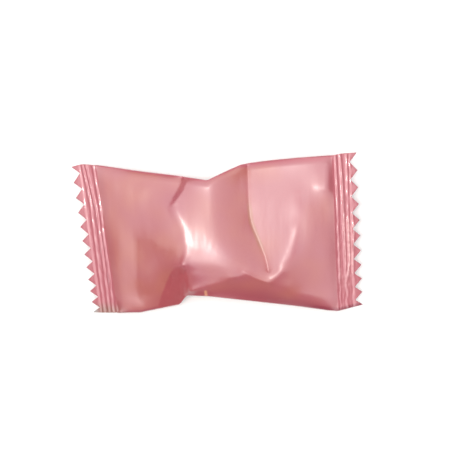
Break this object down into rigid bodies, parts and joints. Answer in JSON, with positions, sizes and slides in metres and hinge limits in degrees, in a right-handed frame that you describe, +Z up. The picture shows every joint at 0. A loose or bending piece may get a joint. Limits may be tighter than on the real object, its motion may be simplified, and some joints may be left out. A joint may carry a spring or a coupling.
{
  "type": "wrapped butter mint",
  "caption": "Butter mint sealed in a small pink pearly film pack, pinched in over the mint and creased, with a crimped, zig-zag cut seal at each end.",
  "frame": {"origin": "centre of the bounding box at its base, in the plane the pack rests on", "axes": "+X along the pack between its crimped ends, +Y towards the edge at the top of the picture, +Z up out of the face the picture shows"},
  "size_m": [0.05, 0.0274, 0.01],
  "materials": {
    "pearl_film": "glossy pink pearlised film, opaque, with soft creases and sharp silvery highlights"
  },
  "bodies": {
    "root": {"wrapped_mint": "pearl_film"}
  },
  "joints": []
}
